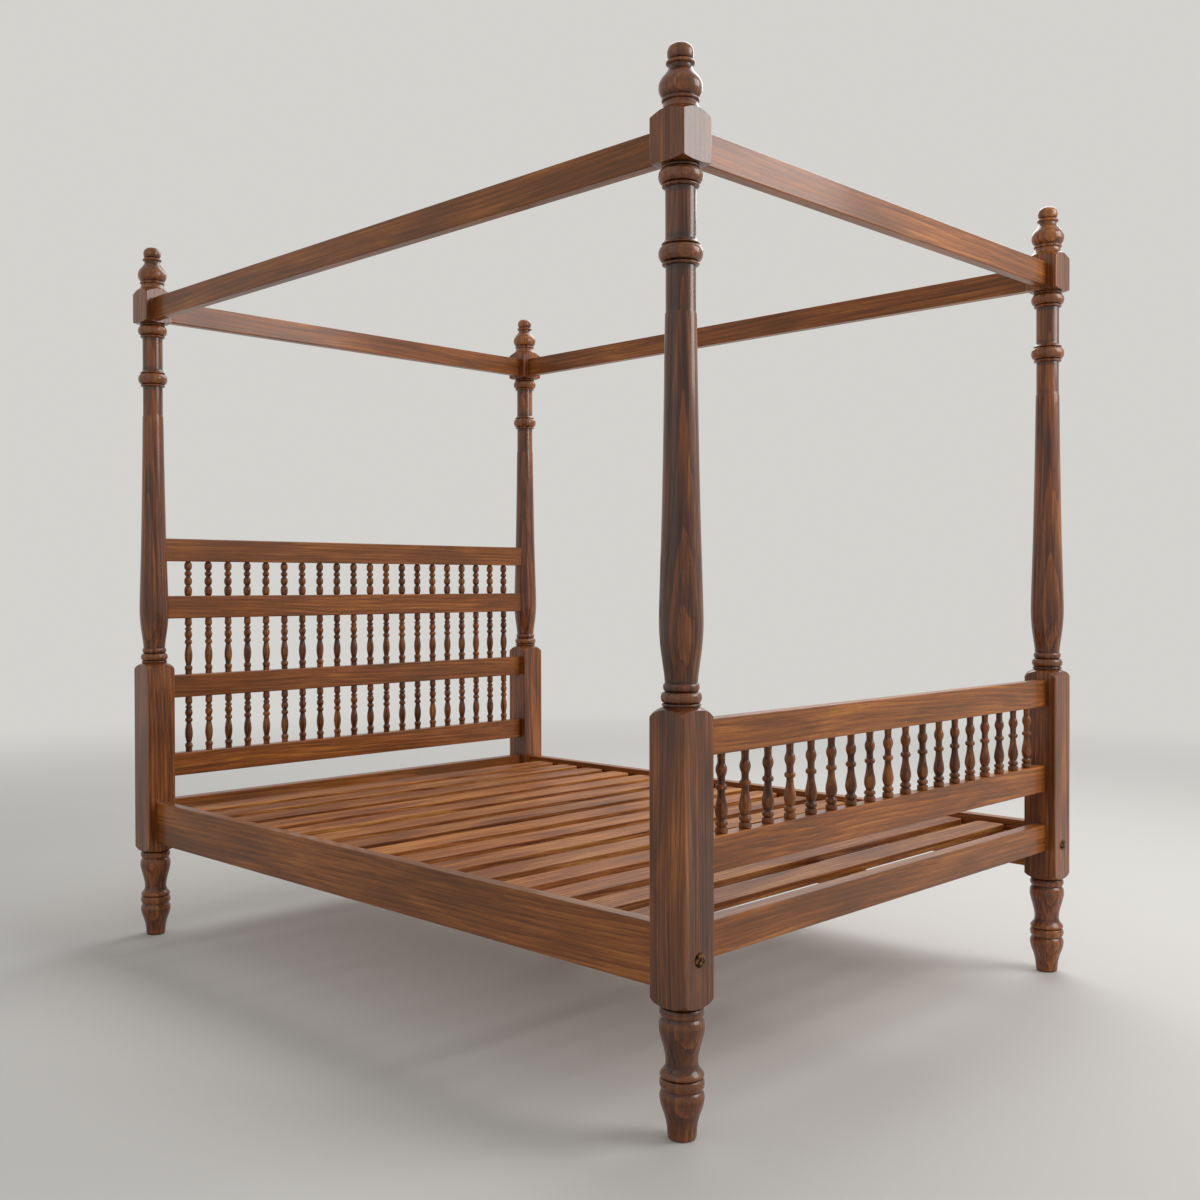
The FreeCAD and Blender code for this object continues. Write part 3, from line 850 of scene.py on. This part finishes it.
@dataclass
class Spindles:
    """Three rows of spindles in the headboard and one in the footboard, each pinned into two rails.

    Outlines are in shares of the height between the rails, and radii in millimetres.
    """

    pin_radius: float = 6.0
    pin_length: float = 12.0
    steps: int = 28
    headboard_count: int = 20
    footboard_count: int = 18
    tone_step: int = 7
    vase: Outline = (
        Sweep(((0.0, 10.0), (0.062, 10.0))),
        Bead(0.068, 0.15, root=8.8, crown=12.0),
        Sweep(((0.165, 7.6), (0.21, 9.3), (0.28, 11.5), (0.345, 12.0), (0.42, 10.8), (0.485, 8.6),
               (0.53, 7.4))),
        Bead(0.536, 0.612, root=7.8, crown=11.5),
        Sweep(((0.632, 7.3), (0.665, 10.0), (0.705, 11.7), (0.745, 10.4), (0.778, 7.8))),
        Bead(0.784, 0.832, root=7.8, crown=10.5),
        Sweep(((0.848, 7.2), (0.862, 7.2))),
        Sweep(((0.866, 8.4), (0.888, 10.6), (0.92, 11.0), (0.96, 10.4), (1.0, 9.6))),
    )
    beads: Outline = (
        Bead(0.0, 0.275, root=7.4, crown=12.0),
        Sweep(((0.285, 7.1), (0.31, 7.1))),
        Bead(0.32, 0.535, root=7.4, crown=11.9),
        Sweep(((0.545, 7.1), (0.575, 7.1))),
        Bead(0.585, 0.705, root=7.4, crown=11.1),
        Sweep(((0.715, 7.1), (0.745, 7.1))),
        Bead(0.755, 0.975, root=7.4, crown=11.9),
        Sweep(((0.985, 7.6), (1.0, 7.6))),
    )
    ringed_vase: Outline = (
        Bead(0.0, 0.07, root=12.0, crown=12.9),
        Sweep(((0.08, 9.4), (0.09, 9.4))),
        Bead(0.092, 0.153, root=9.8, crown=12.8),
        Sweep(((0.17, 8.4), (0.205, 10.9), (0.25, 12.7), (0.285, 12.9), (0.335, 12.0), (0.41, 9.6),
               (0.475, 7.9), (0.53, 7.5))),
        Bead(0.54, 0.61, root=8.2, crown=11.9),
        Sweep(((0.622, 7.7), (0.66, 7.5), (0.70, 7.8))),
        Sweep(((0.712, 8.4), (0.75, 10.7), (0.79, 11.7), (0.83, 10.6), (0.862, 8.4))),
        Sweep(((0.874, 7.8), (0.93, 7.8), (1.0, 8.6))),
    )

    def row(self, bench: Bench, node: str, outline: Outline, count: int,
            first_tone: int) -> bmesh.types.BMesh:
        """Turn one spindle with its pins, and repeat it along the row.

        Args:
            bench: The tools.
            node: The row's CAD node.
            outline: The spindle's outline.
            count: Spindles in the row.
            first_tone: The number of the first spindle's tone.

        Returns:
            The mesh, in its place.
        """
        box = Box.of(node)
        low, high = box.low.z + self.pin_length, box.high.z - self.pin_length
        lower_pin = Sweep(((box.low.z, self.pin_radius), (low, self.pin_radius)))
        upper_pin = Sweep(((high, self.pin_radius), (box.high.z, self.pin_radius)))
        body = [stretch.stretched(low, high - low) for stretch in outline]
        spindle = bench.turn((lower_pin, *body, upper_pin), self.steps)
        pitch = (box.size.x - box.size.y) / (count - 1)
        places = [Vector(((i - (count - 1) / 2) * pitch, box.centre.y, 0.0)) for i in range(count)]
        return bench.row(spindle, places, first_tone)

    def build(self, bench: Bench, finishes: Finishes) -> None:
        """Make the four rows.

        Args:
            bench: The tools.
            finishes: The materials.
        """
        rows = (
            ("headboard_spindles_lower", self.vase, self.headboard_count),
            ("headboard_spindles_middle", self.vase, self.headboard_count),
            ("headboard_spindles_top", self.beads, self.headboard_count),
            ("footboard_spindles", self.ringed_vase, self.footboard_count),
        )
        for number, (node, outline, count) in enumerate(rows):
            mesh = self.row(bench, node, outline, count, first_tone=self.tone_step * number)
            bench.piece(f"turned_{node}", mesh, finishes.spindles, "spindle_wood", node)


@dataclass
class SlatDeck:
    """The slats with rounded corners, the ledger strips that carry them, and the strips' screws."""

    corner: float = 18.0
    ease: float = 2.5
    ledger_ease: float = 1.5
    screw_count: int = 8
    screw_inset: float = 60.0
    screw_depth: float = 2.0
    tone_step: int = 2
    screw: Outline = (
        Sweep(((0.0, 2.0), (1.4, 4.4))),
        Sweep(((1.4, 4.4), (1.9, 4.2), (2.2, 3.4), (2.3, 1.6))),
    )

    def slat(self, bench: Bench, node: str) -> bmesh.types.BMesh:
        """Make one slat.

        Args:
            bench: The tools.
            node: Its CAD node.

        Returns:
            The mesh, in its place.
        """
        box = Box.of(node)
        mesh = bench.bar(box.size, box.centre)
        upright = [edge for edge in mesh.edges
                   if abs(edge.verts[0].co.z - edge.verts[1].co.z) > box.size.z / 2]
        bench.ease(mesh, upright, self.corner, segments=8)
        mesh.normal_update()
        square = math.radians(60.0)
        rims = [edge for edge in mesh.edges if edge.calc_face_angle(0.0) > square]
        bench.ease(mesh, rims, self.ease)
        return mesh

    def screws(self, bench: Bench, side: Side) -> bmesh.types.BMesh:
        """Make the countersunk screws along one ledger strip.

        Args:
            bench: The tools.
            side: The side that the strip is on.

        Returns:
            One mesh with every screw.
        """
        box = Box.of(f"slat_ledger_{side.name.lower()}")
        head = bench.turn(self.screw, steps=14)
        bmesh.ops.rotate(head, verts=head.verts, matrix=Matrix.Rotation(-side.value * math.pi / 2, 3, "Y"))
        face = box.centre.x - side.value * (box.size.x / 2 - self.screw_depth)
        spacing = (box.size.y - 2 * self.screw_inset) / (self.screw_count - 1)
        places = [Vector((face, box.low.y + self.screw_inset + i * spacing, box.centre.z))
                  for i in range(self.screw_count)]
        return bench.row(head, places)

    def build(self, bench: Bench, finishes: Finishes) -> None:
        """Make the slats, the ledger strips and the screws.

        Args:
            bench: The tools.
            finishes: The materials.
        """
        slats = sorted(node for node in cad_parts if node.removeprefix("slat_").isdigit())
        for number, node in enumerate(slats, 1):
            bench.board(node, self.slat(bench, node), self.tone_step * number, finishes.slats, "slat_wood")
        for number, side in enumerate(Side):
            node = f"slat_ledger_{side.name.lower()}"
            box = Box.of(node)
            mesh = bench.bar(box.size, box.centre)
            bench.ease(mesh, list(mesh.edges), self.ledger_ease, segments=2)
            bench.board(node, mesh, number, finishes.hidden[Axis.Y], "hidden_wood")
        screws = bench.joined([self.screws(bench, side) for side in Side])
        bench.piece("ledger_screws", screws, finishes.bolts, "bolt_metal")


@dataclass
class Supports:
    """The beam along the middle, the notched seats that hold its ends, and the leg under it."""

    notch_clearance: float = 0.3
    ease: float = 1.5
    leg_ease: float = 3.0
    tenon_radius: float = 12.0
    tenon_bury: float = 2.0
    first_tone: int = 2

    def beam(self, bench: Bench) -> bmesh.types.BMesh:
        """Make the beam."""
        box = Box.of("slat_support_beam")
        mesh = bench.bar(box.size, box.centre)
        bench.ease(mesh, list(mesh.edges), self.ease, segments=2)
        return mesh

    def seat(self, bench: Bench, node: str) -> bmesh.types.BMesh:
        """Make one notched seat from its outline, drawn out along the bed.

        Args:
            bench: The tools.
            node: Its CAD node.

        Returns:
            The mesh, in its place.
        """
        box, beam = Box.of(node), Box.of("slat_support_beam")
        notch = beam.size.x / 2 + self.notch_clearance
        corners = ((box.low.x, box.low.z), (box.high.x, box.low.z), (box.high.x, box.high.z),
                   (notch, box.high.z), (notch, beam.low.z), (-notch, beam.low.z), (-notch, box.high.z),
                   (box.low.x, box.high.z))
        mesh = bmesh.new()
        face = mesh.faces.new([mesh.verts.new((x, box.low.y, z)) for x, z in corners])
        drawn = bmesh.ops.extrude_face_region(mesh, geom=[face])["geom"]
        moved = [item for item in drawn if isinstance(item, bmesh.types.BMVert)]
        bmesh.ops.translate(mesh, verts=moved, vec=(0.0, box.size.y, 0.0))
        bmesh.ops.recalc_face_normals(mesh, faces=mesh.faces)
        bench.ease(mesh, list(mesh.edges), self.ease, segments=2)
        return mesh

    def leg(self, bench: Bench) -> bmesh.types.BMesh:
        """Make the leg with its round tenon.

        Args:
            bench: The tools.

        Returns:
            The mesh, in its place.
        """
        box, top = Box.of("centre_leg"), Box.of("slat_support_beam").low.z
        mesh = bench.bar(Vector((box.size.x, box.size.y, top)), Vector((0.0, 0.0, top / 2)))
        bench.ease(mesh, list(mesh.edges), self.leg_ease)
        tenon = Sweep(((top - self.tenon_bury, self.tenon_radius), (box.high.z, self.tenon_radius)))
        return bench.joined([mesh, bench.turn((tenon,), steps=32)])

    def build(self, bench: Bench, finishes: Finishes) -> None:
        """Make the beam, the seats and the leg.

        Args:
            bench: The tools.
            finishes: The materials.
        """
        seats = [f"beam_seat_{end.name.lower()}" for end in End]
        jobs = [("slat_support_beam", self.beam(bench), Axis.Y), ("centre_leg", self.leg(bench), Axis.Z)]
        jobs += [(node, self.seat(bench, node), Axis.X) for node in seats]
        for number, (node, mesh, axis) in enumerate(jobs, self.first_tone):
            bench.board(node, mesh, number, finishes.hidden[axis], "hidden_wood")


@dataclass
class Fittings:
    """Four bed bolts with domed heads, and the barrel nuts that they draw up to."""

    shank_radius: float = 4.0
    shank_length: float = 160.0
    head: Outline = (
        Sweep(((0.0, 13.6), (0.5, 14.3), (1.2, 14.4))),
        Sweep(((1.2, 14.4), (2.2, 13.4), (3.4, 10.9), (4.3, 7.7), (4.85, 4.2), (5.0, 0.4))),
    )

    def bolts(self, bench: Bench, end: End) -> bmesh.types.BMesh:
        """Make the two bolts of one end, with their heads on the posts' outer faces.

        Args:
            bench: The tools.
            end: The end of the bed.

        Returns:
            The mesh, in its place.
        """
        shank = Sweep(((-self.shank_length, self.shank_radius), (0.0, self.shank_radius)))
        bolt = bench.turn((shank, *self.head), steps=40)
        bmesh.ops.rotate(bolt, verts=bolt.verts, matrix=Matrix.Rotation(-end.value * math.pi / 2, 3, "X"))
        post = Box.of(f"post_{end.name.lower()}_right").centre
        height = Box.of("bed_bolts").centre.z
        face = post.y + end.value * Seat.BLOCK.value
        return bench.row(bolt, [Vector((side.value * post.x, face, height)) for side in Side])

    def build(self, bench: Bench, finishes: Finishes) -> None:
        """Make the bolts, and give the barrel nuts their metal.

        Args:
            bench: The tools.
            finishes: The materials.
        """
        bolts = bench.joined([self.bolts(bench, end) for end in End])
        bench.piece("domed_bed_bolts", bolts, finishes.bolts, "bolt_metal", "bed_bolts")
        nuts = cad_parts["barrel_nuts"]
        nuts.data.materials.clear()
        nuts.data.materials.append(finishes.bolts)
        LOG.info("barrel_nuts: the CAD node, with a better material")


@dataclass(frozen=True)
class Lamp:
    """A soft square lamp: where it hangs, the length of its side in metres, and its power."""

    name: str
    place: tuple[float, float, float]
    size: float
    watts: float


@dataclass
class Studio:
    """A plain pale floor, soft lamps, a pale surround and the camera at the photo's angle, in metres."""

    pale: str = "#D4D2CE"
    floor_radius: float = 30.0
    fade_start: float = 2.6
    fade_end: float = 7.5
    mottles_per_metre: float = 3.0
    surround_light: float = 0.42
    camera_place: tuple[float, float, float] = (-2.7122, -2.6719, 1.0639)
    camera_yaw: float = -44.416
    camera_pitch: float = -0.616
    camera_roll: float = -0.142
    sensor_width: float = 36.0
    lens: float = 39.25
    shift_x: float = 0.0387
    aim: tuple[float, float, float] = (0.0, 0.0, 0.9)
    lamps: tuple[Lamp, ...] = (
        Lamp("key_front_right", (1.9, -3.6, 3.1), size=2.2, watts=85.0),
        Lamp("side_right", (3.3, 0.9, 4.7), size=3.8, watts=150.0),
        Lamp("fill_left", (-4.2, -0.6, 2.6), size=2.6, watts=8.0),
    )

    def floor(self) -> None:
        """Lay the floor, which fades into the surround far from the bed."""
        mesh = bmesh.new()
        bmesh.ops.create_circle(mesh, cap_ends=True, segments=96, radius=self.floor_radius)
        data = bpy.data.meshes.new("studio_floor")
        mesh.to_mesh(data)
        mesh.free()
        material = bpy.data.materials.new("matt pale floor paint")
        tree = empty_tree(material)
        where = add_node(tree, "ShaderNodeTexCoord").outputs["Object"]
        mottle = add_node(tree, "ShaderNodeTexNoise", {
            "Vector": where, "Scale": self.mottles_per_metre, "Detail": 4.0,
        }).outputs["Fac"]
        roughness = add_node(tree, "ShaderNodeMapRange", {
            "Value": mottle, "To Min": 0.55, "To Max": 0.75,
        }).outputs["Result"]
        paint = add_node(tree, "ShaderNodeBsdfPrincipled", {
            "Base Color": linear(self.pale), "Roughness": roughness, "Specular IOR Level": 0.2,
        }).outputs["BSDF"]
        glow = add_node(tree, "ShaderNodeEmission", {"Color": linear(self.pale)}).outputs["Emission"]
        away = add_node(tree, "ShaderNodeVectorMath", {0: where}, operation="LENGTH").outputs["Value"]
        fade = add_node(tree, "ShaderNodeMapRange", {
            "Value": away, "From Min": self.fade_start, "From Max": self.fade_end,
        }, interpolation_type="SMOOTHSTEP").outputs["Result"]
        both = add_node(tree, "ShaderNodeMixShader", {0: fade, 1: paint, 2: glow}).outputs["Shader"]
        add_node(tree, "ShaderNodeOutputMaterial", {"Surface": both})
        data.materials.append(material)
        floor = bpy.data.objects.new("studio_floor", data)
        bpy.context.scene.collection.objects.link(floor)

    def surround(self) -> None:
        """Light the bed evenly, and show a pale surround to the camera and to reflections."""
        world = bpy.data.worlds.new("pale studio")
        bpy.context.scene.world = world
        tree = empty_tree(world)
        path = add_node(tree, "ShaderNodeLightPath").outputs
        seen = add_node(tree, "ShaderNodeMath", {
            0: path["Is Camera Ray"], 1: path["Is Glossy Ray"],
        }, operation="MAXIMUM").outputs["Value"]
        seen = add_node(tree, "ShaderNodeMath", {
            0: seen, 1: path["Is Transmission Ray"],
        }, operation="MAXIMUM").outputs["Value"]
        light = add_node(tree, "ShaderNodeBackground", {
            "Color": (1.0, 1.0, 1.0, 1.0), "Strength": self.surround_light,
        }).outputs["Background"]
        backdrop = add_node(tree, "ShaderNodeBackground", {
            "Color": linear(self.pale), "Strength": 1.0,
        }).outputs["Background"]
        both = add_node(tree, "ShaderNodeMixShader", {0: seen, 1: light, 2: backdrop}).outputs["Shader"]
        add_node(tree, "ShaderNodeOutputWorld", {"Surface": both})

    def hang(self, lamp: Lamp) -> None:
        """Hang one lamp so that it faces the bed."""
        data = bpy.data.lights.new(lamp.name, "AREA")
        data.shape = "SQUARE"
        data.size = lamp.size
        data.energy = lamp.watts
        hung = bpy.data.objects.new(lamp.name, data)
        hung.location = lamp.place
        hung.rotation_euler = (Vector(self.aim) - Vector(lamp.place)).to_track_quat("-Z", "Y").to_euler()
        bpy.context.scene.collection.objects.link(hung)

    def camera(self) -> None:
        """Set the camera where the photograph was taken from."""
        data = bpy.data.cameras.new("photo_camera")
        data.lens = self.lens
        data.sensor_width = self.sensor_width
        data.shift_x = self.shift_x
        camera = bpy.data.objects.new("photo_camera", data)
        turn = (Matrix.Rotation(math.radians(self.camera_yaw), 3, "Z")
                @ Matrix.Rotation(math.radians(90 + self.camera_pitch), 3, "X")
                @ Matrix.Rotation(math.radians(self.camera_roll), 3, "Z"))
        camera.location = self.camera_place
        camera.rotation_euler = turn.to_euler()
        bpy.context.scene.collection.objects.link(camera)
        bpy.context.scene.camera = camera

    def build(self) -> None:
        """Set up the whole studio."""
        bpy.context.scene.view_settings.view_transform = "Standard"
        self.floor()
        self.surround()
        for lamp in self.lamps:
            self.hang(lamp)
        self.camera()


def main() -> None:
    """Build the bed's looks and the studio."""
    logging.basicConfig(level=logging.INFO, format="%(name)s: %(message)s")
    bench = Bench()
    finishes = Finishes()
    for assembly in (Posts(), Rails(), Spindles(), SlatDeck(), Supports(), Fittings()):
        assembly.build(bench, finishes)
    Studio().build()


if __name__ == "__main__":
    main()
